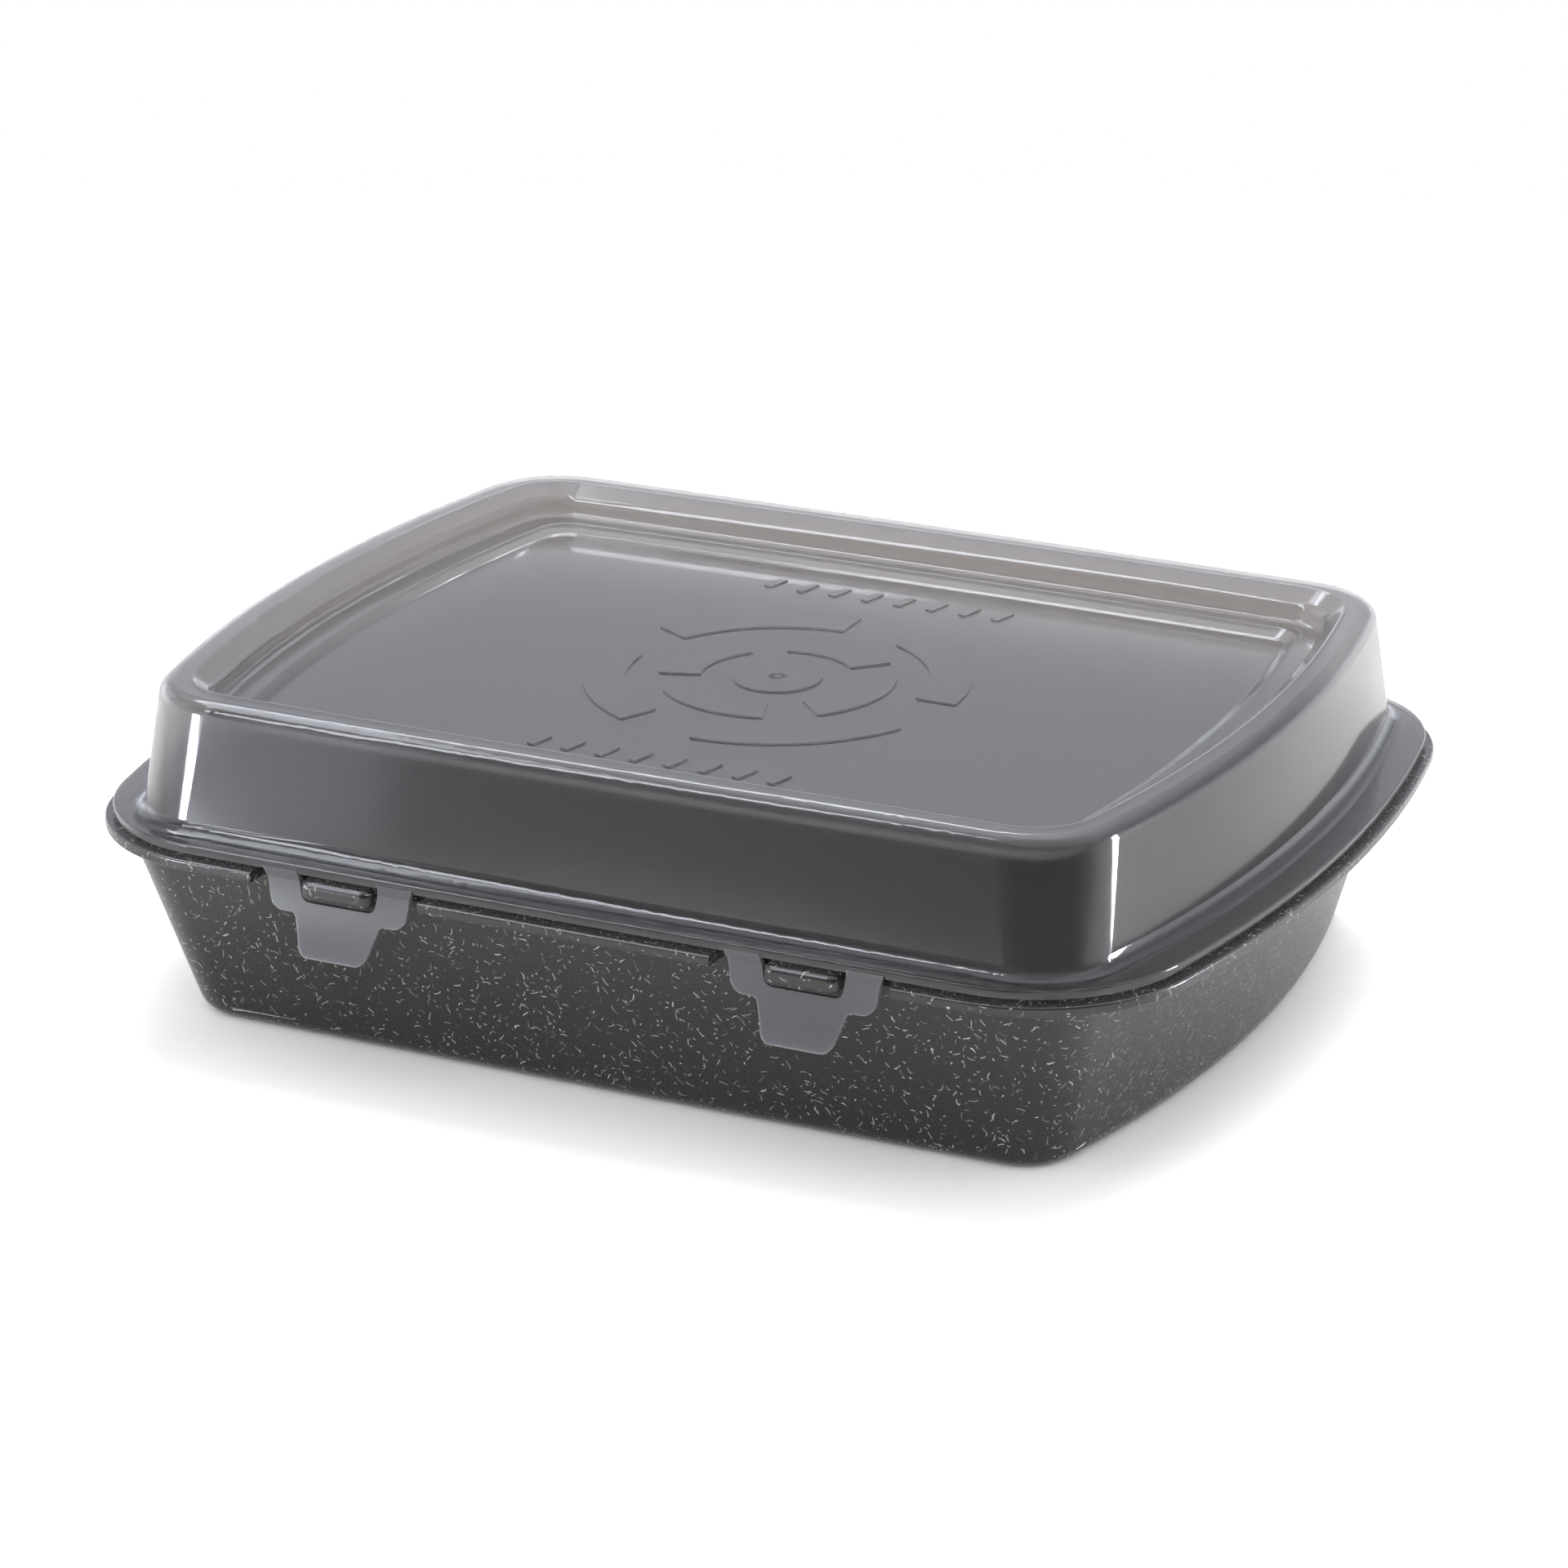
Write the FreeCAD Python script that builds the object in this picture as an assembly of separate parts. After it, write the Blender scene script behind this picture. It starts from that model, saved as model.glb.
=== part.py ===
import FreeCAD, Part
import math
import os

Vector = FreeCAD.Vector

# Reusable meal container: a shallow moulded tray with a flat rim, a domed
# clip-on lid, and four tabs that hang from the lid and clip over lugs on the
# rim. All sizes in millimetres. The origin is the middle of the tray's
# underside; +X runs along the long side, -Y is the front and +Z is up.

# Lid flange, the lid's widest outline. Long sides and ends are bowed arcs.
lid_half_length = 120.0
lid_half_width = 91.4
lid_end_radius = 334.0
lid_side_radius = 11500.0
lid_corner_radius = 32.0

# Tray rim and how the lid sits on it.
rim_top = 39.6
rim_thickness = 2.1
rim_reach = 1.7
rim_edge_radius = 0.5
seat_height = 1.5
seat_width = 1.8
seat_clearance = 0.3
flange_thickness = 1.1
flange_edge_radius = 0.4
lip_drop = 0.7
lip_width = 3.0
lip_step = 0.25

# Tray walls. The overhangs are from the rim's edge in to the wall.
rim_end_overhang = 8.9
rim_side_overhang = 6.1
tray_end_radius = 316.0
tray_side_radius = 7200.0
tray_corner_radius = 11.5
tray_end_lean = 9.7
tray_side_lean = 9.5
foot_end_radius = 265.0
foot_side_radius = 4200.0
foot_corner_radius = 12.0
tray_wall = 2.0
tray_floor = 2.2
foot_edge_radius = 4.3
floor_edge_radius = 5.0

# Lid dome. The shelves are from the flange's edge in to the dome's wall.
lid_wall = 1.2
end_shelf = 8.2
side_shelf = 5.6
dome_end_radius = 313.0
dome_side_radius = 8300.0
dome_corner_radius = 16.5
dome_height = 25.8
dome_end_lean = 2.9
dome_side_lean = 4.15
dome_foot_fillet = 3.0
crest_side_radius = 4850.0
crest_corner_radius = 19.0
crest_edge_radius = 3.0

# Ridge around the sunk panel. From the crest in, a slope, a steep wall down to
# a narrow ledge, and a step down to the panel. Each lean is a bend's distance
# inwards from the one before; the panel's margins are from the crest's outline.
crest_width = 6.2
crest_inner_radius = 1.2
slope_lean = 3.7
slope_drop = 2.9
shoulder_radius = 2.4
ridge_wall_lean = 0.4
ridge_wall_drop = 3.7
ridge_foot_radius = 1.5
step_lean = 2.3
step_drop = 1.5
step_edge_radius = 0.8
panel_end_margin = 18.9
panel_side_margin = 15.75
panel_end_radius = 330.0
panel_side_radius = 2450.0
panel_corner_radius = 4.6

# Plain relief on the panel: a disc with the moulding gate's dimple in it, two
# broken rings around it, and a row of slanted bars at the front and the back.
relief_height = 0.35
disc_radius = 9.0
gate_radius = 1.9
gate_depth = 0.5
gate_nub_radius = 0.9
ring_gap = 6.5
ring_width = 8.5
ring_parts = 4
ring_part_angle = 64.0
bar_count = 8
bar_spacing = 7.4
bar_length = 5.6
bar_width = 1.7
bar_slant = 14.0
bar_row_margin = 13.5

# Plug that drops inside the tray's mouth.
plug_depth = 3.2
plug_clearance = 0.3

# Snap tabs, two along the front and two along the back.
tab_spacing = 99.0
tab_thickness = 1.3
hinge_thickness = 0.5
tab_drop = 16.2
tab_root_half_width = 16.5
tab_root_drop = 2.2
tab_leg_half_width = 15.6
tab_shoulder_half_width = 14.6
tab_shoulder_drop = 8.5
tab_shoulder_radius = 3.0
tongue_root_half_width = 9.4
tongue_tip_half_width = 7.0
tongue_root_radius = 1.2
tongue_tip_radius = 2.5
tab_setback = 0.6
tab_flare = 4.1
tab_belly = 1.0
pocket_clearance = 0.2

# Lugs on the rim, held in the tabs' windows, and the notches beside them.
lug_half_width = 7.7
lug_height = 3.9
lug_drop = 0.0
lug_setback = 0.3
lug_edge_radius = 1.2
lug_end_radius = 2.0
window_side_clearance = 1.3
window_drop_clearance = 0.8
window_taper = 1.1
window_radius = 1.8
notch_end = 18.5
notch_wall_gap = 0.3
notch_radius = 1.0

# Heights that follow from the sizes above.
rim_underside = rim_top - rim_thickness
flange_underside = rim_top + seat_height
flange_top = flange_underside + flange_thickness
lip_bottom = flange_underside - lip_drop
crest_top = flange_top + dome_height
inner_crest = crest_top - lid_wall
shoulder_height = crest_top - slope_drop
ledge_top = shoulder_height - ridge_wall_drop
panel_top = ledge_top - step_drop
lug_top = rim_top - lug_drop
lug_bottom = lug_top - lug_height
window_bottom = lug_bottom - window_drop_clearance


class Ring:
    """Closed outline of bowed sides and ends, tangent to its corner arcs."""

    def __init__(self, half_length, half_width, end_radius, side_radius, corner_radius):
        self.half_length = half_length
        self.half_width = half_width
        self.end_radius = end_radius
        self.side_radius = side_radius
        self.corner_radius = corner_radius

    def grown(self, step):
        """The parallel outline at a distance: outwards, or inwards if negative."""
        return Ring(
            self.half_length + step,
            self.half_width + step,
            self.end_radius + step,
            self.side_radius + step,
            self.corner_radius + step,
        )

    def corner(self):
        """Start, middle and end of the corner arc where x and y are positive."""
        side_centre = Vector(0, self.half_width - self.side_radius, 0)
        end_centre = Vector(self.half_length - self.end_radius, 0, 0)
        centre = meeting_point(
            side_centre,
            self.side_radius - self.corner_radius,
            end_centre,
            self.end_radius - self.corner_radius,
        )
        on_side = stretched(side_centre, centre, self.side_radius)
        on_end = stretched(end_centre, centre, self.end_radius)
        chord_middle = (on_side + on_end) * 0.5
        return [on_end, stretched(centre, chord_middle, self.corner_radius), on_side]

    def wire(self, height):
        """The outline at a height: eight arcs, counter-clockwise from the right."""
        corner = self.corner()
        middles = [
            Vector(0, self.half_width, height),
            Vector(-self.half_length, 0, height),
            Vector(0, -self.half_width, height),
            Vector(self.half_length, 0, height),
        ]
        signs = [(1, 1), (-1, 1), (-1, -1), (1, -1)]
        points = []
        for quarter, (sign_x, sign_y) in enumerate(signs):
            arc = corner if quarter % 2 == 0 else corner[::-1]
            points += [Vector(p.x * sign_x, p.y * sign_y, height) for p in arc]
            points.append(middles[quarter])
        points.append(points[0])
        arcs = range(0, len(points) - 1, 2)
        return Part.Wire([Part.Arc(*points[i:i + 3]).toShape() for i in arcs])


def meeting_point(centre_a, radius_a, centre_b, radius_b):
    """Where two circles cross in the quarter with x and y positive."""
    between = centre_b - centre_a
    distance = between.Length
    along = (radius_a ** 2 - radius_b ** 2 + distance ** 2) / (2 * distance)
    aside = math.sqrt(radius_a ** 2 - along ** 2)
    direction = between.normalize()
    normal = Vector(-direction.y, direction.x, 0)
    foot = centre_a + direction * along
    return max(foot + normal * aside, foot - normal * aside, key=lambda p: p.x + p.y)


def stretched(start, through, length):
    """The point at a length from start on the line through another point."""
    return start + (through - start).normalize() * length


def prism(ring, bottom, top):
    """Solid with upright walls between two heights."""
    return Part.Face(ring.wire(bottom)).extrude(Vector(0, 0, top - bottom))


def skin(levels):
    """Solid through outlines at rising or falling heights, with straight walls."""
    return Part.makeLoft([ring.wire(height) for ring, height in levels], True, True)


def level_edges(solid, height):
    """Edges that lie at one height."""
    found = []
    for edge in solid.Edges:
        box = edge.BoundBox
        if abs(box.ZMin - height) < 1e-4 and abs(box.ZMax - height) < 1e-4:
            found.append(edge)
    return found


def rounded(solid, radius, height):
    """The solid with every edge at one height filleted."""
    return solid.makeFillet(radius, level_edges(solid, height))


flange_ring = Ring(
    lid_half_length,
    lid_half_width,
    lid_end_radius,
    lid_side_radius,
    lid_corner_radius,
)
lip_ring = flange_ring.grown(-lip_step)
rim_ring = flange_ring.grown(rim_reach)
tray_ring = Ring(
    rim_ring.half_length - rim_end_overhang,
    rim_ring.half_width - rim_side_overhang,
    tray_end_radius,
    tray_side_radius,
    tray_corner_radius,
)
foot_ring = Ring(
    tray_ring.half_length - tray_end_lean,
    tray_ring.half_width - tray_side_lean,
    foot_end_radius,
    foot_side_radius,
    foot_corner_radius,
)
mouth_ring = tray_ring.grown(-tray_wall)
dome_ring = Ring(
    lid_half_length - end_shelf,
    lid_half_width - side_shelf,
    dome_end_radius,
    dome_side_radius,
    dome_corner_radius,
)
crest_ring = Ring(
    dome_ring.half_length - dome_end_lean,
    dome_ring.half_width - dome_side_lean,
    dome_end_radius,
    crest_side_radius,
    crest_corner_radius,
)
panel_ring = Ring(
    crest_ring.half_length - panel_end_margin,
    crest_ring.half_width - panel_side_margin,
    panel_end_radius,
    panel_side_radius,
    panel_corner_radius,
)
crest_inner_ring = crest_ring.grown(-crest_width)
shoulder_ring = crest_inner_ring.grown(-slope_lean)
ridge_foot_ring = shoulder_ring.grown(-ridge_wall_lean)
ledge_ring = panel_ring.grown(step_lean)
plug_ring = mouth_ring.grown(-plug_clearance)
plug_inner_ring = plug_ring.grown(-lid_wall)

tab_centres = (-tab_spacing / 2, tab_spacing / 2)


def facing_front(solid, centre, side):
    """A tab-side solid moved to its place along the front (-1) or back (1)."""
    placed = solid.copy()
    if side > 0:
        placed.rotate(Vector(0, 0, 0), Vector(0, 0, 1), 180)
    placed.translate(Vector(centre, 0, 0))
    return placed


def box_between(low, high):
    size = high - low
    return Part.makeBox(size.x, size.y, size.z, low)


def lug():
    """The block on the tray's wall that a tab's window clips over."""
    front = -rim_ring.half_width + lug_setback
    back = -mouth_ring.half_width - tray_wall / 2
    block = box_between(
        Vector(-lug_half_width, front, lug_bottom),
        Vector(lug_half_width, back, lug_top),
    )
    upright = [e for e in block.Edges if abs(e.BoundBox.YMax - front) < 1e-4]
    upright = [e for e in upright if e.BoundBox.ZLength > lug_edge_radius]
    block = block.makeFillet(lug_end_radius, upright)
    around = level_edges(block, lug_top) + level_edges(block, lug_bottom)
    around = [e for e in around if e.BoundBox.YMin < back - lug_edge_radius]
    return block.makeFillet(lug_edge_radius, around)


def notch():
    """The opening in the rim around a lug, for the tab to hang in."""
    depth_start = -tray_ring.half_width - notch_wall_gap
    block = box_between(
        Vector(-notch_end, -rim_ring.half_width - rim_reach, rim_underside - rim_thickness),
        Vector(notch_end, depth_start, rim_top + rim_thickness),
    )
    upright = [
        e for e in block.Edges
        if abs(e.BoundBox.YMin - depth_start) < 1e-4 and e.BoundBox.ZLength > rim_thickness
    ]
    return block.makeFillet(notch_radius, upright)


def make_tray():
    walls = rounded(skin([(foot_ring, 0), (tray_ring, rim_underside)]), foot_edge_radius, 0)
    rim = rounded(prism(rim_ring, rim_underside, rim_top), rim_edge_radius, rim_top)
    rim = rounded(rim, rim_edge_radius, rim_underside)
    seat = prism(mouth_ring.grown(seat_width), rim_top, flange_underside)
    tray = walls.fuse([rim, seat])
    cuts = []
    lugs = []
    for side in (-1, 1):
        for centre in tab_centres:
            cuts.append(facing_front(notch(), centre, side))
            lugs.append(facing_front(lug(), centre, side))
    tray = tray.cut(cuts).fuse(lugs)
    inner_foot = foot_ring.grown(-tray_wall)
    hollow = rounded(
        skin([(inner_foot, tray_floor), (mouth_ring, rim_underside)]),
        floor_edge_radius,
        tray_floor,
    )
    mouth = prism(mouth_ring, rim_underside, flange_underside + rim_thickness)
    return tray.cut([hollow, mouth]).removeSplitter()


def make_lid():
    flange = rounded(
        prism(flange_ring, flange_underside, flange_top), flange_edge_radius, flange_top
    )
    lip = prism(lip_ring, lip_bottom, flange_underside).cut(
        prism(lip_ring.grown(-lip_width), lip_bottom, flange_underside)
    )
    plug = prism(plug_ring, flange_underside - plug_depth, flange_underside)
    dome = skin([(dome_ring, flange_top), (crest_ring, crest_top)])
    dome = rounded(dome, crest_edge_radius, crest_top)
    pockets = []
    for side in (-1, 1):
        for centre in tab_centres:
            pockets += [facing_front(pocket, centre, side) for pocket in leg_pockets()]
    seat_room = prism(mouth_ring.grown(seat_width + seat_clearance), lip_bottom, flange_underside)
    lid = flange.fuse([dome, plug, lip.cut(pockets + [seat_room])]).removeSplitter()
    foot_edges = level_loop(lid, flange_top, dome_ring)
    lid = lid.makeFillet(dome_foot_fillet, foot_edges)
    lid = lid.cut(ridge_hollow())
    lid = lid.makeFillet(crest_inner_radius, level_loop(lid, crest_top, crest_inner_ring))
    lid = lid.cut([dome_hollow(), plug_hollow()])
    return lid.fuse(relief()).cut(gate_dimple())


def level_loop(solid, height, ring):
    """Edges at one height that lie on a ring's outline."""
    outline = ring.wire(height)
    found = []
    for edge in level_edges(solid, height):
        middle = edge.valueAt((edge.FirstParameter + edge.LastParameter) / 2)
        if outline.distToShape(Part.Vertex(middle))[0] < 1e-3:
            found.append(edge)
    return found


def ridge_hollow():
    """Space inside the ridge, down to the sunk panel, with its bends rounded."""
    space = skin([
        (crest_inner_ring, crest_top),
        (shoulder_ring, shoulder_height),
        (ridge_foot_ring, ledge_top),
    ])
    space = rounded(space, shoulder_radius, shoulder_height)
    space = rounded(space, ridge_foot_radius, ledge_top)
    step = skin([(ledge_ring, ledge_top), (panel_ring, panel_top)])
    space = space.fuse(step).removeSplitter()
    edges = level_loop(space, ledge_top, ledge_ring) + level_edges(space, panel_top)
    return space.makeFillet(step_edge_radius, edges)


def relief():
    """Low pads that stand on the panel, rooted half way into its wall."""
    root = panel_top - lid_wall / 2
    top = panel_top + relief_height
    pads = [round_pad(0, disc_radius, root, top, 360)]
    for number in (1, 2):
        outer = disc_radius + number * (ring_gap + ring_width)
        for part in range(ring_parts):
            pad = round_pad(outer - ring_width, outer, root, top, ring_part_angle)
            turn = (part + number / 2) * 360 / ring_parts
            pad.rotate(Vector(0, 0, 0), Vector(0, 0, 1), turn)
            pads.append(pad)
    row_y = panel_ring.half_width - bar_row_margin
    for side in (-1, 1):
        for place in range(bar_count):
            middle = Vector((place - (bar_count - 1) / 2) * bar_spacing, side * row_y, root)
            reach = Vector(bar_width / 2, bar_length / 2, 0)
            bar = box_between(middle - reach, middle + reach + Vector(0, 0, top - root))
            bar.rotate(middle, Vector(0, 0, 1), -bar_slant)
            pads.append(bar)
    return pads


def round_pad(inner, outer, bottom, top, angle):
    """A disc, a ring or a part of one around the panel's middle."""
    start = Vector(0, 0, bottom)
    up = Vector(0, 0, 1)
    pad = Part.makeCylinder(outer, top - bottom, start, up, angle)
    if inner > 0:
        pad = pad.cut(Part.makeCylinder(inner, top - bottom, start, up))
    return pad


def gate_dimple():
    """The sunk ring left around the nub where the plastic flowed in."""
    top = panel_top + relief_height
    return round_pad(gate_nub_radius, gate_radius, top - gate_depth, top, 360)


def dome_hollow():
    """Inside of the dome, with the underside of the ridge and panel left standing."""
    slope = math.atan2(slope_drop, slope_lean)
    wall = math.atan2(ridge_wall_drop, ridge_wall_lean)
    step = math.atan2(step_drop, step_lean)
    hollow = skin([
        (dome_ring.grown(-lid_wall), flange_top),
        (crest_ring.grown(-lid_wall), inner_crest),
    ])
    hollow = rounded(hollow, crest_edge_radius - lid_wall, inner_crest)
    ridge = skin([
        underside(crest_inner_ring, crest_top, 0, slope),
        underside(shoulder_ring, shoulder_height, slope, wall),
        underside(ridge_foot_ring, ledge_top, wall, 0),
    ])
    sunk = skin([
        underside(ledge_ring, ledge_top, 0, step),
        underside(panel_ring, panel_top, step, 0),
    ])
    return hollow.cut([ridge, sunk]).removeSplitter()


def underside(ring, height, slope_above, slope_below):
    """A bend of the lid's top, and its height, moved through the wall."""
    facing = (slope_above + slope_below) / 2
    reach = lid_wall / math.cos((slope_above - slope_below) / 2)
    return ring.grown(reach * math.sin(facing)), height - reach * math.cos(facing)


def plug_hollow():
    return prism(plug_inner_ring, flange_underside - plug_depth, flange_top)


def leg_pockets():
    """Gaps in the lip for a tab's two legs."""
    front = -lid_half_width - lip_step
    back = -lid_half_width + hinge_thickness + tab_thickness
    pockets = []
    for sign in (-1, 1):
        inner = sign * (window_half_width(flange_underside) - pocket_clearance)
        outer = sign * (tab_root_half_width + pocket_clearance)
        low = Vector(min(inner, outer), front, lip_bottom)
        high = Vector(max(inner, outer), back, flange_underside)
        pockets.append(box_between(low, high))
    return pockets


def window_half_width(height):
    """Half width of a tab's window, which narrows downwards."""
    rise = (height - window_bottom) / (flange_underside - window_bottom)
    return lug_half_width + window_side_clearance - window_taper * (1 - rise)


def make_tab():
    """A snap tab at the middle of the front: a curved plate cut to its outline."""
    outline = tab_outline().cut(tab_window())
    return tab_section().common(outline)


def tab_section():
    """The tab's side section, drawn out across its full width."""
    top = flange_underside
    hinge_y = -lid_half_width
    plate_y = hinge_y + tab_setback
    tip_y = plate_y - tab_flare
    root_z = top - tab_root_drop
    tip_z = top - tab_drop
    half = tab_root_half_width
    across = Vector(0, tab_thickness, 0)

    root = Vector(-half, plate_y, root_z)
    belly = Vector(-half, (plate_y + tip_y) / 2 + tab_belly, (root_z + tip_z) / 2)
    tip = Vector(-half, tip_y, tip_z)
    hinge = Vector(-half, hinge_y, top)
    hinge_back = hinge + Vector(0, hinge_thickness, 0)
    section = Part.Wire([
        Part.makeLine(hinge, root),
        Part.Arc(root, belly, tip).toShape(),
        Part.makeLine(tip, tip + across),
        Part.Arc(tip + across, belly + across, root + across).toShape(),
        Part.makeLine(root + across, hinge_back),
        Part.makeLine(hinge_back, hinge),
    ])
    return Part.Face(section).extrude(Vector(2 * half, 0, 0))


def front_prism(corners):
    """Solid drawn out along Y from a front-view outline of x and z values."""
    start = -lid_half_width - 2 * tab_flare
    points = [Vector(x, start, z) for x, z in corners]
    wire = Part.makePolygon(points + points[:1])
    return Part.Face(wire).extrude(Vector(0, 4 * tab_flare, 0))


def rounded_at(solid, radius, x, z):
    """The front prism with its two edges at +x and -x and a height filleted."""
    edges = []
    for edge in solid.Edges:
        point = edge.Vertexes[0].Point
        if abs(abs(point.x) - x) < 1e-4 and abs(point.z - z) < 1e-4:
            if edge.BoundBox.YLength > tab_flare:
                edges.append(edge)
    return solid.makeFillet(radius, edges)


def tab_outline():
    top = flange_underside
    leg_z = top - tab_root_drop
    shoulder_z = top - tab_shoulder_drop
    tip_z = top - tab_drop
    right = [
        (tab_root_half_width, top),
        (tab_leg_half_width, leg_z),
        (tab_shoulder_half_width, shoulder_z),
        (tongue_root_half_width, shoulder_z),
        (tongue_tip_half_width, tip_z),
    ]
    left = [(-x, z) for x, z in reversed(right)]
    solid = front_prism(right + left)
    solid = rounded_at(solid, tab_shoulder_radius, tab_leg_half_width, leg_z)
    solid = rounded_at(solid, tab_shoulder_radius, tab_shoulder_half_width, shoulder_z)
    solid = rounded_at(solid, tongue_root_radius, tongue_root_half_width, shoulder_z)
    return rounded_at(solid, tongue_tip_radius, tongue_tip_half_width, tip_z)


def tab_window():
    top = flange_underside
    upper = window_half_width(top)
    lower = window_half_width(window_bottom)
    solid = front_prism([
        (upper, top),
        (lower, window_bottom),
        (-lower, window_bottom),
        (-upper, top),
    ])
    return rounded_at(solid, window_radius, lower, window_bottom)


tab = make_tab()
pieces = {"base_tray": make_tray(), "lid": make_lid()}
for side, side_name in ((-1, "front"), (1, "rear")):
    for centre, hand in zip(tab_centres, ("left", "right")):
        pieces["latch_" + side_name + "_" + hand] = facing_front(tab, centre, side)

os.makedirs("parts", exist_ok=True)
for name, solid in pieces.items():
    print(name, solid.isValid(), len(solid.Solids), round(solid.Volume), solid.optimalBoundingBox())
    solid.exportStep("parts/" + name + ".step")
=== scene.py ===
import math
import bpy
from mathutils import Matrix, Vector


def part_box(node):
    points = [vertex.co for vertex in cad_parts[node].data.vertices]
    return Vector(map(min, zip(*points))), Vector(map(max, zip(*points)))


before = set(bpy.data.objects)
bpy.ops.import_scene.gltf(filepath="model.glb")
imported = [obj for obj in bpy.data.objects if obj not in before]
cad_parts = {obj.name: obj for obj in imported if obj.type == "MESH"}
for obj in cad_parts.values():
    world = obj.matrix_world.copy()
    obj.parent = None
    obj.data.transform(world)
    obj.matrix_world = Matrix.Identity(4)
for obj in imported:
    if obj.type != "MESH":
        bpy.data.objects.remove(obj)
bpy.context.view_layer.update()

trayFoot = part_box("base_tray")[0][2]
print("stage: frame loaded,", len(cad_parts), "nodes")

bpy.ops.object.select_all(action="DESELECT")
mmPerMetre = 1000


def linearColour(hexText):
    # sRGB hex to the linear colour that a shader socket takes
    parts = [int(hexText[i:i + 2], 16) / 255 for i in (1, 3, 5)]
    return [p / 12.92 if p <= 0.04045 else ((p + 0.055) / 1.055) ** 2.4 for p in parts] + [1.0]


def addNode(tree, kind, settings=None, links=None):
    # settings: property or socket -> value, links: socket -> output of another node
    node = tree.nodes.new(kind)
    for name, value in (settings or {}).items():
        if isinstance(name, str) and hasattr(node, name):
            setattr(node, name, value)
        else:
            node.inputs[name].default_value = value
    for name, output in (links or {}).items():
        tree.links.new(output, node.inputs[name])
    return node


def newMaterial(name):
    material = bpy.data.materials.new(name)
    material.use_nodes = True
    material.node_tree.nodes.clear()
    return material, material.node_tree


camera = {
    "azimuth": 26.137,      # degrees from the front towards the right end
    "elevation": 20.711,
    "roll": -0.368,
    "lens": 133.72,         # mm, as is the sensor's width
    "sensorWidth": 36,
    "distance": 1.1732,     # metres from the point aimed at, on the box's middle line
    "aimHeight": 0.035,
    "shift": (0.003625, 0.006386),
    "farLimit": 50,
}


def placeCamera():
    azimuth, elevation, roll = (math.radians(camera[k]) for k in ("azimuth", "elevation", "roll"))
    forward = Vector((-math.sin(azimuth) * math.cos(elevation),
                      math.cos(azimuth) * math.cos(elevation),
                      -math.sin(elevation)))
    right = Vector((math.cos(azimuth), math.sin(azimuth), 0))
    up = right.cross(forward)
    rolledRight = math.cos(roll) * right + math.sin(roll) * up
    rolledUp = -math.sin(roll) * right + math.cos(roll) * up
    place = Vector((0, 0, camera["aimHeight"])) - forward * camera["distance"]
    turn = Matrix((rolledRight, rolledUp, -forward)).transposed().to_4x4()
    data = bpy.data.cameras.new("productCamera")
    data.lens = camera["lens"]
    data.sensor_width = camera["sensorWidth"]
    data.shift_x, data.shift_y = camera["shift"]
    data.clip_end = camera["farLimit"]
    holder = bpy.data.objects.new("productCamera", data)
    holder.matrix_world = Matrix.Translation(place) @ turn
    bpy.context.collection.objects.link(holder)
    bpy.context.scene.camera = holder


placeCamera()
print("stage: camera placed")

# table, room and lamps: azimuths count in degrees from the back towards the right end
studio = {
    "tableRadius": 0.62,
    "tableSides": 96,
    "tableGap": 0.0001,          # keeps the tray's foot and the table top from sharing a plane
    "tableColour": 0.93,
    "tableWhite": 2.2,           # to the camera the open table top reaches white and keeps its shadow
    "tableGloss": 1.42,          # mirrored in the box
    "tableThrough": 2.35,        # seen through the lid
    "roomLight": 0.60,           # the pale room, even all round
    "sweepGloss": (1.75, 0.93),  # mirrored, the lit foot of the backdrop and the greyer part above it
    "sweepEdges": (0.08, 0.26),  # heights are sines of the elevation
    "ceilingGloss": 1.15,        # the lit ceiling, from the height where it starts to where it is full
    "ceilingEdges": (0.45, 0.95),
    "glossTint": "#f0f4ff",      # daylight-cool, seen in the lid's skin
    "darkSideAzimuth": 150,      # mirrored, one side of the room is dark
    "darkSideEdges": (0.2, 0.86),  # cosines of the angle off its middle, as for the canopy
    "darkSideLevel": 0.02,
    "canopyPlace": (-155, 32),   # and a dark canopy hangs over the front left
    "canopyEdges": (0.86, 0.96),
    "canopyLevel": 0.1,
    "keyAzimuth": -8,            # the key light is soft and stands behind the box
    "keyElevation": 54,
    "keyDistance": 2,
    "keyStrength": 1.35,
    "keyAngle": 50,
}

# panels that light only the gloss: distance, width and height in metres, lean and spread in degrees;
# each faces its aim, else the middle of the tray's foot, and a radiance of 1 is as bright as white
panels = {
    "backPanel": {"azimuth": -45, "elevation": 48.5, "distance": 1.5,
                  "size": (1.35, 0.16), "lean": 19, "radiance": 7.5},
    "leftHighPanel": {"azimuth": -98, "elevation": 58, "distance": 1.5,
                      "size": (1.1, 0.22), "radiance": 5.5},
    "leftPost": {"azimuth": -143, "elevation": 44, "distance": 1.2,
                 "size": (0.12, 0.75), "radiance": 13.0},
    "leftPanel": {"azimuth": -100, "elevation": 12, "distance": 1.2,
                  "size": (2.1, 0.8), "radiance": 0.8},
    "leftGlow": {"azimuth": -145, "elevation": 8, "distance": 1.2,
                 "size": (0.26, 0.6), "radiance": 1.5},
    # two narrow strips stand close to the lid's front corners; their grids keep light off the rest
    "leftStrip": {"azimuth": -138.5, "elevation": 5.5, "distance": 0.370,
                  "size": (0.023, 0.10), "lean": 50, "radiance": 6.0,
                  "aim": (-0.086, -0.083, 0.055), "spread": 50},
    "rightStrip": {"azimuth": 82, "elevation": 10, "distance": 0.284,
                   "size": (0.020, 0.14), "lean": 3, "radiance": 6.0,
                   "aim": (0.103, -0.067, 0.053), "spread": 50},
}


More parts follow.
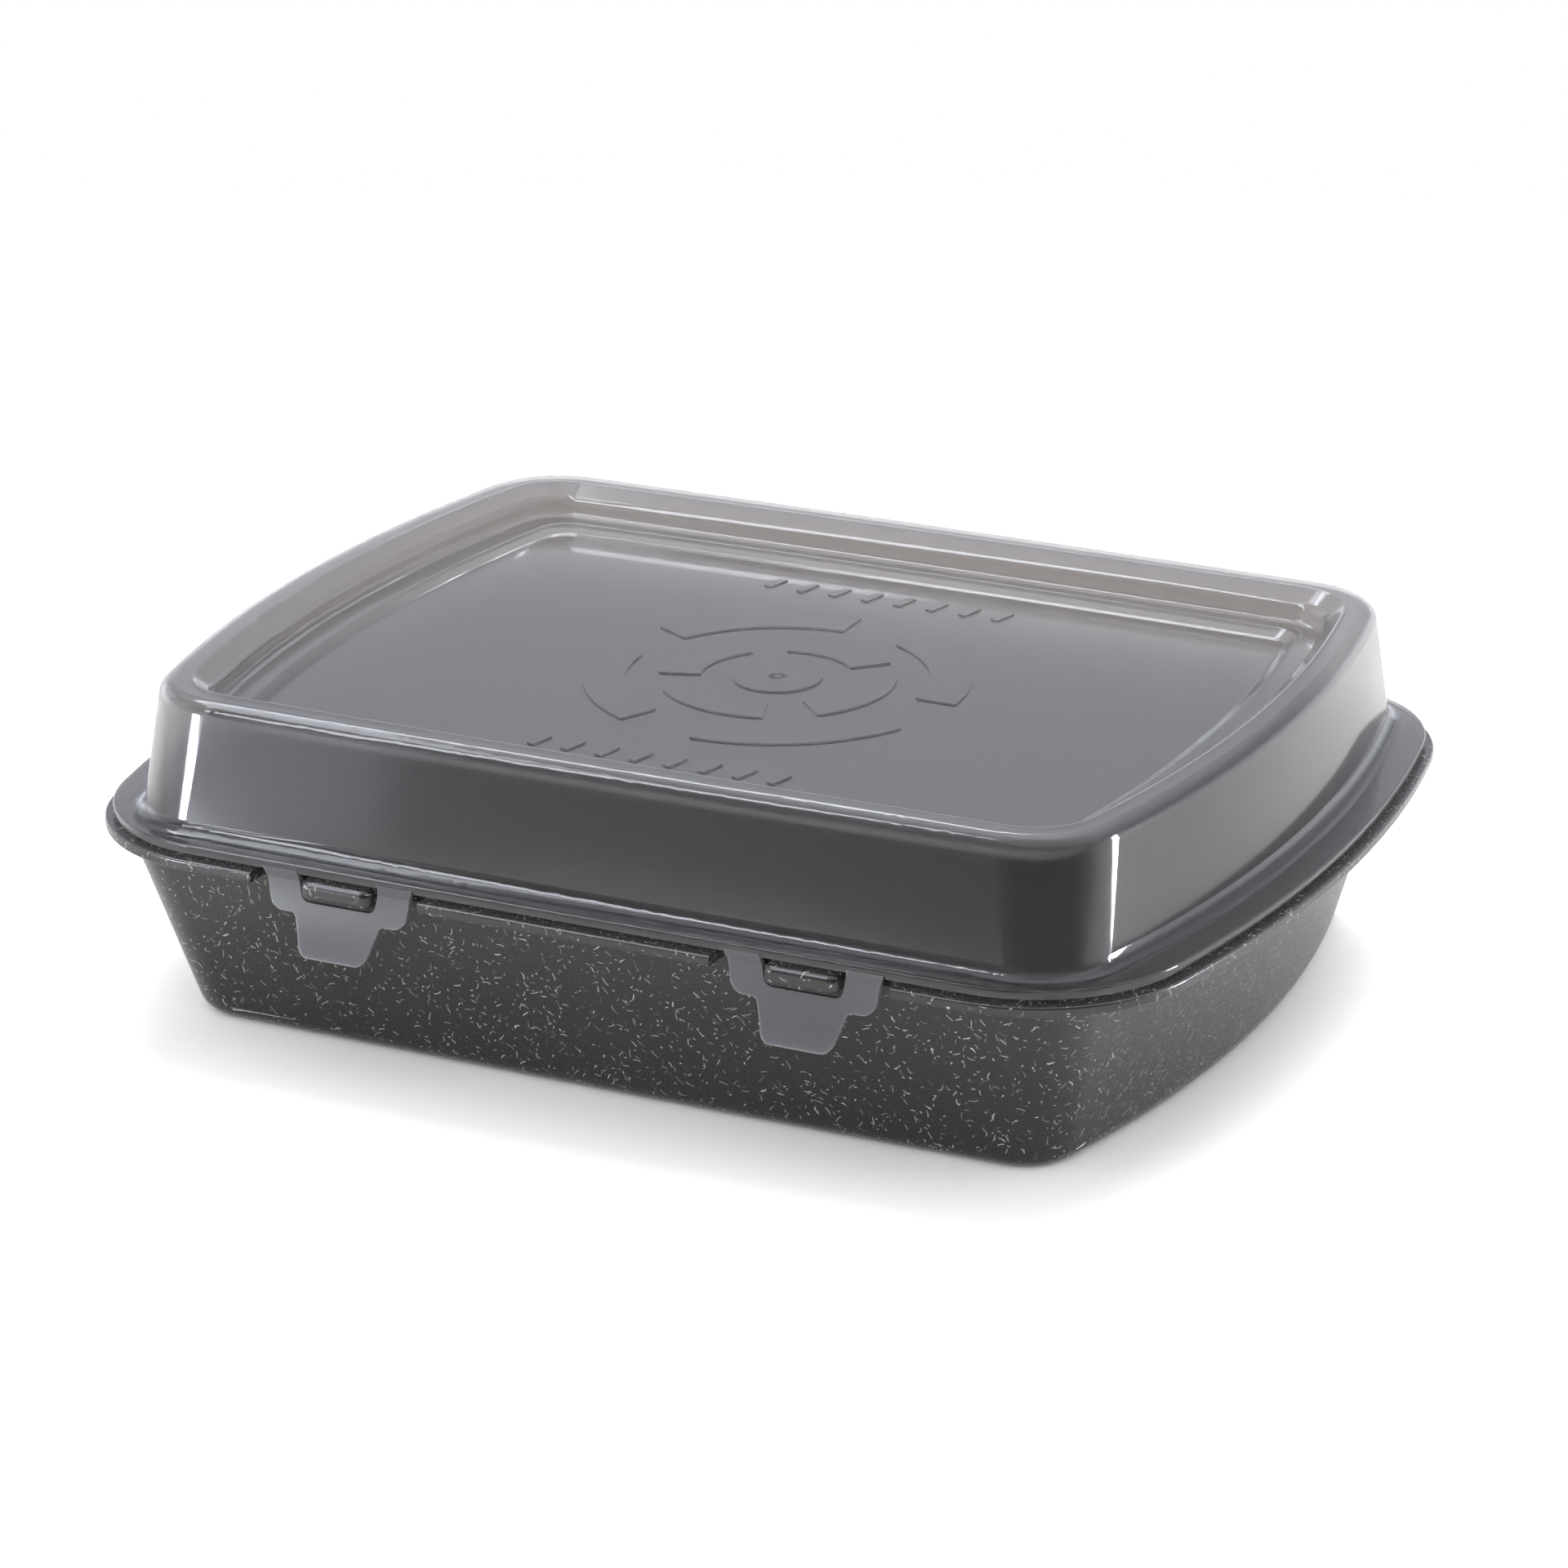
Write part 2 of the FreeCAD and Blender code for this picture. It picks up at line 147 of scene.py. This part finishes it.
def heading(azimuth, elevation):
    a, e = math.radians(azimuth), math.radians(elevation)
    return Vector((math.sin(a) * math.cos(e), math.cos(a) * math.cos(e), math.sin(e)))


def addLamp(name, kind, place, aim, lean, energy, glossOnly):
    data = bpy.data.lights.new(name, kind)
    data.energy = energy
    lamp = bpy.data.objects.new(name, data)
    turn = (place - aim).to_track_quat("Z", "Y").to_matrix().to_4x4()
    lamp.matrix_world = Matrix.Translation(place) @ turn @ Matrix.Rotation(math.radians(lean), 4, "Z")
    lamp.visible_diffuse = not glossOnly
    lamp.visible_glossy = glossOnly
    lamp.visible_transmission = False
    lamp.visible_camera = False
    bpy.context.collection.objects.link(lamp)
    return data


def makeTable():
    bpy.ops.mesh.primitive_circle_add(vertices=studio["tableSides"], radius=studio["tableRadius"],
                                      fill_type="NGON", location=(0, 0, trayFoot - studio["tableGap"]))
    table = bpy.context.object
    table.name = "studioTable"
    bpy.ops.object.transform_apply(location=True, rotation=True, scale=True)
    # white laminate, pressed matt: even and pale, with no shine of its own
    material, tree = newMaterial("whiteLaminate")
    rays = addNode(tree, "ShaderNodeLightPath")
    lit = addNode(tree, "ShaderNodeMix",
                  {"data_type": "FLOAT", 2: studio["tableColour"], 3: studio["tableGloss"]},
                  {0: rays.outputs["Is Glossy Ray"]})
    behind = addNode(tree, "ShaderNodeMix", {"data_type": "FLOAT", 3: studio["tableThrough"]},
                     {0: rays.outputs["Is Transmission Ray"], 2: lit.outputs[0]})
    seen = addNode(tree, "ShaderNodeMix", {"data_type": "FLOAT", 3: studio["tableWhite"]},
                   {0: rays.outputs["Is Camera Ray"], 2: behind.outputs[0]})
    paint = addNode(tree, "ShaderNodeBsdfDiffuse", {}, {"Color": seen.outputs[0]})
    addNode(tree, "ShaderNodeOutputMaterial", {}, {"Surface": paint.outputs[0]})
    table.data.materials.append(material)


def makeWorld():
    world = bpy.data.worlds.new("studioRoom")
    world.use_nodes = True
    bpy.context.scene.world = world
    tree = world.node_tree
    tree.nodes.clear()
    rays = addNode(tree, "ShaderNodeLightPath")
    direction = addNode(tree, "ShaderNodeTexCoord")
    level = addNode(tree, "ShaderNodeVectorMath", {"operation": "MULTIPLY", 1: (1, 1, 0)},
                    {0: direction.outputs["Generated"]})
    flat = addNode(tree, "ShaderNodeVectorMath", {"operation": "NORMALIZE"}, {0: level.outputs[0]})
    aside = addNode(tree, "ShaderNodeVectorMath",
                    {"operation": "DOT_PRODUCT", 1: heading(studio["darkSideAzimuth"], 0)},
                    {0: flat.outputs[0]})
    low, high = studio["darkSideEdges"]
    unlit = addNode(tree, "ShaderNodeMapRange",
                    {"interpolation_type": "SMOOTHSTEP", "From Min": low, "From Max": high,
                     "To Min": 1.0, "To Max": studio["darkSideLevel"]},
                    {"Value": aside.outputs["Value"]})
    over = addNode(tree, "ShaderNodeVectorMath",
                   {"operation": "DOT_PRODUCT", 1: heading(*studio["canopyPlace"])},
                   {0: direction.outputs["Generated"]})
    low, high = studio["canopyEdges"]
    canopy = addNode(tree, "ShaderNodeMapRange",
                     {"interpolation_type": "SMOOTHSTEP", "From Min": low, "From Max": high,
                      "To Min": 1.0, "To Max": studio["canopyLevel"]},
                     {"Value": over.outputs["Value"]})
    upward = addNode(tree, "ShaderNodeSeparateXYZ", {}, {0: direction.outputs["Generated"]})
    low, high = studio["sweepEdges"]
    foot, above = studio["sweepGloss"]
    sweep = addNode(tree, "ShaderNodeMapRange",
                    {"interpolation_type": "SMOOTHSTEP", "From Min": low, "From Max": high,
                     "To Min": foot, "To Max": above},
                    {"Value": upward.outputs["Z"]})
    low, high = studio["ceilingEdges"]
    ceiling = addNode(tree, "ShaderNodeMapRange",
                      {"interpolation_type": "SMOOTHSTEP", "From Min": low, "From Max": high,
                       "To Max": studio["ceilingGloss"]},
                      {"Value": upward.outputs["Z"]})
    shaded = addNode(tree, "ShaderNodeMath", {"operation": "MULTIPLY"},
                     {0: unlit.outputs[0], 1: canopy.outputs[0]})
    gloss = addNode(tree, "ShaderNodeMath", {"operation": "MULTIPLY_ADD"},
                    {0: shaded.outputs[0], 1: sweep.outputs[0], 2: ceiling.outputs[0]})
    mirrored = addNode(tree, "ShaderNodeMix", {"data_type": "FLOAT", 2: studio["roomLight"]},
                       {0: rays.outputs["Is Glossy Ray"], 3: gloss.outputs[0]})
    # straight to the camera, or on through the lid, the backdrop is plain white
    passing = addNode(tree, "ShaderNodeMath", {"operation": "MAXIMUM"},
                      {0: rays.outputs["Is Camera Ray"], 1: rays.outputs["Is Transmission Ray"]})
    strength = addNode(tree, "ShaderNodeMix", {"data_type": "FLOAT", 3: 1.0},
                       {0: passing.outputs[0], 2: mirrored.outputs[0]})
    tint = addNode(tree, "ShaderNodeMix",
                   {"data_type": "RGBA", 6: linearColour("#ffffff"), 7: linearColour(studio["glossTint"])},
                   {0: rays.outputs["Is Glossy Ray"]})
    light = addNode(tree, "ShaderNodeBackground", {},
                    {"Color": tint.outputs[2], "Strength": strength.outputs[0]})
    addNode(tree, "ShaderNodeOutputWorld", {}, {"Surface": light.outputs[0]})


def makeLamps():
    foot = Vector((0, 0, 0))
    keyPlace = heading(studio["keyAzimuth"], studio["keyElevation"]) * studio["keyDistance"]
    key = addLamp("keySun", "SUN", keyPlace, foot, 0, studio["keyStrength"], False)
    key.angle = math.radians(studio["keyAngle"])
    for name, panel in panels.items():
        width, height = panel["size"]
        # an area lamp's radiance is its power over pi times its area
        power = panel["radiance"] * math.pi * width * height
        place = heading(panel["azimuth"], panel["elevation"]) * panel["distance"]
        aim = Vector(panel.get("aim", foot))
        data = addLamp(name, "AREA", place, aim, panel.get("lean", 0), power, True)
        data.color = linearColour(studio["glossTint"])[:3]
        data.shape = "RECTANGLE"
        data.size = width
        data.size_y = height
        data.spread = math.radians(panel.get("spread", 180))


makeTable()
makeWorld()
makeLamps()
bpy.context.scene.view_settings.view_transform = "Standard"
print("stage: floor, world and lamps ready")

trayFinish = {
    "colour": "#272725",
    "paleColour": "#30302e",
    "fibreColour": "#f2f0e8",
    "cloudSize": 18,            # sizes and depths in mm; the melt's slight unevenness
    "roughness": (0.22, 0.32),
    "index": 1.49,
    "shine": 0.75,              # 0.5 is the index's own
    "grainSize": 0.45,          # the satin skin of the mould, drawn coarse enough to show
    "grainDepth": 0.008,
    "fibreDepth": 0.015,        # how far a fibre stands proud
    "fibreDimness": 1.1,        # fibres lie at all depths: above 1, more of them are dim
    "fuzz": 0.7,                # the fine ends of fibre in the skin, which pale the tray at a low angle
    "fuzzRoughness": 0.3,
    "layers": (
        # spacing, longest fibre and its width, share of places that hold one, how far it bends
        {"cell": 2.3, "length": 1.5, "width": 0.18, "share": 0.50, "bend": 0.6, "seed": 3.0},
        {"cell": 1.5, "length": 0.6, "width": 0.22, "share": 0.30, "bend": 0.2, "seed": 11.0},
    ),
    "bendScale": 1.3,           # bends in the length of one cell
    "softEnds": 0.4,            # how much of a fibre's half length, and half width, fades out
    "softSides": 0.9,
}


def fibreLayer(tree, place, normal, layer):
    # at most one short fibre in each cell, lying in the surface at a random angle and depth
    grid = addNode(tree, "ShaderNodeVectorMath", {"operation": "SCALE", "Scale": mmPerMetre / layer["cell"]},
                   {0: place})
    waves = addNode(tree, "ShaderNodeTexNoise", {"Scale": trayFinish["bendScale"], "Detail": 0.0},
                    {"Vector": grid.outputs[0]})
    wave = addNode(tree, "ShaderNodeVectorMath",
                   {"operation": "MULTIPLY_ADD", 1: (layer["bend"],) * 3, 2: (layer["seed"],) * 3},
                   {0: waves.outputs["Color"]})
    bent = addNode(tree, "ShaderNodeVectorMath", {"operation": "ADD"},
                   {0: grid.outputs[0], 1: wave.outputs[0]})
    cells = addNode(tree, "ShaderNodeTexVoronoi", {"Scale": 1.0}, {"Vector": bent.outputs[0]})
    offset = addNode(tree, "ShaderNodeVectorMath", {"operation": "SUBTRACT"},
                     {0: bent.outputs[0], 1: cells.outputs["Position"]})
    draw = addNode(tree, "ShaderNodeVectorMath", {"operation": "SUBTRACT", 1: (0.5, 0.5, 0.5)},
                   {0: cells.outputs["Color"]})
    upright = addNode(tree, "ShaderNodeVectorMath", {"operation": "PROJECT"},
                      {0: draw.outputs[0], 1: normal})
    lying = addNode(tree, "ShaderNodeVectorMath", {"operation": "SUBTRACT"},
                    {0: draw.outputs[0], 1: upright.outputs[0]})
    run = addNode(tree, "ShaderNodeVectorMath", {"operation": "NORMALIZE"}, {0: lying.outputs[0]})
    side = addNode(tree, "ShaderNodeVectorMath", {"operation": "CROSS_PRODUCT"},
                   {0: normal, 1: run.outputs[0]})
    chance = addNode(tree, "ShaderNodeTexWhiteNoise", {"noise_dimensions": "3D"},
                     {"Vector": cells.outputs["Position"]})
    halfLength = layer["length"] / layer["cell"] / 2
    halfWidth = layer["width"] / layer["cell"] / 2
    masks = []
    for axis, half, soft in ((run, halfLength, trayFinish["softEnds"]),
                             (side, halfWidth, trayFinish["softSides"])):
        reach = addNode(tree, "ShaderNodeVectorMath", {"operation": "DOT_PRODUCT"},
                        {0: offset.outputs[0], 1: axis.outputs[0]})
        size = addNode(tree, "ShaderNodeMath", {"operation": "ABSOLUTE"}, {0: reach.outputs["Value"]})
        masks.append(addNode(tree, "ShaderNodeMapRange",
                             {"interpolation_type": "SMOOTHSTEP", "From Min": half * (1 - soft / 2),
                              "From Max": half * (1 + soft / 2), "To Min": 1.0, "To Max": 0.0},
                             {"Value": size.outputs[0]}))
    shape = addNode(tree, "ShaderNodeMath", {"operation": "MULTIPLY"},
                    {0: masks[0].outputs[0], 1: masks[1].outputs[0]})
    depth = addNode(tree, "ShaderNodeMapRange", {"From Min": 1 - layer["share"], "From Max": 1.0},
                    {"Value": chance.outputs["Value"]})
    bright = addNode(tree, "ShaderNodeMath", {"operation": "POWER", 1: trayFinish["fibreDimness"]},
                     {0: depth.outputs[0]})
    return addNode(tree, "ShaderNodeMath", {"operation": "MULTIPLY"},
                   {0: shape.outputs[0], 1: bright.outputs[0]})


def makeTrayMaterial():
    # dark polypropylene filled with pale plant fibre, injection moulded: satin charcoal with cream flecks
    material, tree = newMaterial("fibreFilledPolypropylene")
    place = addNode(tree, "ShaderNodeTexCoord")
    spot, normal = place.outputs["Object"], place.outputs["Normal"]
    layers = [fibreLayer(tree, spot, normal, layer) for layer in trayFinish["layers"]]
    fibres = addNode(tree, "ShaderNodeMath", {"operation": "MAXIMUM"},
                     {0: layers[0].outputs[0], 1: layers[1].outputs[0]})
    clouds = addNode(tree, "ShaderNodeTexNoise",
                     {"Scale": mmPerMetre / trayFinish["cloudSize"], "Detail": 3.0}, {"Vector": spot})
    body = addNode(tree, "ShaderNodeMix",
                   {"data_type": "RGBA", 6: linearColour(trayFinish["colour"]),
                    7: linearColour(trayFinish["paleColour"])},
                   {0: clouds.outputs["Fac"]})
    colour = addNode(tree, "ShaderNodeMix",
                     {"data_type": "RGBA", 7: linearColour(trayFinish["fibreColour"])},
                     {0: fibres.outputs[0], 6: body.outputs[2]})
    grain = addNode(tree, "ShaderNodeTexNoise",
                    {"Scale": mmPerMetre / trayFinish["grainSize"], "Detail": 2.0}, {"Vector": spot})
    low, high = trayFinish["roughness"]
    rough = addNode(tree, "ShaderNodeMapRange", {"To Min": low, "To Max": high},
                    {"Value": grain.outputs["Fac"]})
    skin = addNode(tree, "ShaderNodeBump",
                   {"Distance": trayFinish["grainDepth"] / mmPerMetre, "Strength": 1.0},
                   {"Height": grain.outputs["Fac"]})
    raised = addNode(tree, "ShaderNodeBump",
                     {"Distance": trayFinish["fibreDepth"] / mmPerMetre, "Strength": 1.0},
                     {"Height": fibres.outputs[0], "Normal": skin.outputs[0]})
    surface = addNode(tree, "ShaderNodeBsdfPrincipled",
                      {"IOR": trayFinish["index"], "Specular IOR Level": trayFinish["shine"],
                       "Sheen Weight": trayFinish["fuzz"], "Sheen Roughness": trayFinish["fuzzRoughness"]},
                      {"Base Color": colour.outputs[2], "Roughness": rough.outputs[0],
                       "Normal": raised.outputs[0]})
    addNode(tree, "ShaderNodeOutputMaterial", {}, {"Surface": surface.outputs[0]})
    return material


lidFinish = {
    "colour": "#aba8a7",
    "paleColour": "#afacab",
    "cloudSize": 45,            # sizes and depths in mm; how evenly the smoke tint lies
    "roughness": (0.38, 0.44),  # inside the wall, where the haze blurs what shows through
    "bodyIndex": 1.1,           # the body against its skin, which alone reflects as polypropylene does
    "skinIndex": 1.49,
    "polish": 0.08,             # the roughness of the outer skin
    "hazeSize": 6,
    "rippleSize": 14,           # the slight waviness of a thin moulded wall
    "rippleDepth": 0.010,
    "through": 0.96,            # share of the light that goes on through the smoke-tinted wall
}


def makeLidMaterial():
    # smoke-tinted polypropylene, moulded with a polish: glossy grey, thin enough for light to come through
    material, tree = newMaterial("smokePolypropylene")
    place = addNode(tree, "ShaderNodeTexCoord")
    spot = place.outputs["Object"]
    clouds = addNode(tree, "ShaderNodeTexNoise",
                     {"Scale": mmPerMetre / lidFinish["cloudSize"], "Detail": 2.0}, {"Vector": spot})
    colour = addNode(tree, "ShaderNodeMix",
                     {"data_type": "RGBA", 6: linearColour(lidFinish["colour"]),
                      7: linearColour(lidFinish["paleColour"])},
                     {0: clouds.outputs["Fac"]})
    haze = addNode(tree, "ShaderNodeTexNoise",
                   {"Scale": mmPerMetre / lidFinish["hazeSize"], "Detail": 3.0}, {"Vector": spot})
    low, high = lidFinish["roughness"]
    rough = addNode(tree, "ShaderNodeMapRange", {"To Min": low, "To Max": high},
                    {"Value": haze.outputs["Fac"]})
    ripple = addNode(tree, "ShaderNodeTexNoise",
                     {"Scale": mmPerMetre / lidFinish["rippleSize"], "Detail": 1.0}, {"Vector": spot})
    wavy = addNode(tree, "ShaderNodeBump",
                   {"Distance": lidFinish["rippleDepth"] / mmPerMetre, "Strength": 1.0},
                   {"Height": ripple.outputs["Fac"]})
    surface = addNode(tree, "ShaderNodeBsdfPrincipled",
                      {"IOR": lidFinish["bodyIndex"], "Transmission Weight": lidFinish["through"],
                       "Coat Weight": 1.0, "Coat Roughness": lidFinish["polish"],
                       "Coat IOR": lidFinish["skinIndex"]},
                      {"Base Color": colour.outputs[2], "Roughness": rough.outputs[0],
                       "Normal": wavy.outputs[0], "Coat Normal": wavy.outputs[0]})
    addNode(tree, "ShaderNodeOutputMaterial", {}, {"Surface": surface.outputs[0]})
    return material


latchFinish = {
    "colour": "#797a7f",
    "paleColour": "#7f8085",
    "roughness": (0.36, 0.46),
    "index": 1.49,
    "grainSize": 0.35,          # sizes and depths in mm; the etched grain, drawn coarse enough to show
    "grainDepth": 0.006,
    "glow": 1.0,                # share of the light that scatters inside, and how deep it goes
    "glowDepth": 2.2,
}


def makeLatchMaterial():
    # the lid's polypropylene from an etched mould face: frosted, a cloudy grey that light glows in
    material, tree = newMaterial("frostedPolypropylene")
    place = addNode(tree, "ShaderNodeTexCoord")
    spot = place.outputs["Object"]
    grain = addNode(tree, "ShaderNodeTexNoise",
                    {"Scale": mmPerMetre / latchFinish["grainSize"], "Detail": 2.0}, {"Vector": spot})
    colour = addNode(tree, "ShaderNodeMix",
                     {"data_type": "RGBA", 6: linearColour(latchFinish["colour"]),
                      7: linearColour(latchFinish["paleColour"])},
                     {0: grain.outputs["Fac"]})
    low, high = latchFinish["roughness"]
    rough = addNode(tree, "ShaderNodeMapRange", {"To Min": low, "To Max": high},
                    {"Value": grain.outputs["Fac"]})
    etched = addNode(tree, "ShaderNodeBump",
                     {"Distance": latchFinish["grainDepth"] / mmPerMetre, "Strength": 1.0},
                     {"Height": grain.outputs["Fac"]})
    surface = addNode(tree, "ShaderNodeBsdfPrincipled",
                      {"IOR": latchFinish["index"], "Subsurface Weight": latchFinish["glow"],
                       "Subsurface Radius": (1, 1, 1),
                       "Subsurface Scale": latchFinish["glowDepth"] / mmPerMetre},
                      {"Base Color": colour.outputs[2], "Roughness": rough.outputs[0],
                       "Normal": etched.outputs[0]})
    addNode(tree, "ShaderNodeOutputMaterial", {}, {"Surface": surface.outputs[0]})
    return material


pieceMaterials = {"base_tray": makeTrayMaterial(), "lid": makeLidMaterial()}
latchMaterial = makeLatchMaterial()
for name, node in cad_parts.items():
    for slot in node.material_slots:
        slot.material = pieceMaterials.get(name, latchMaterial)
print("stage: materials assigned")
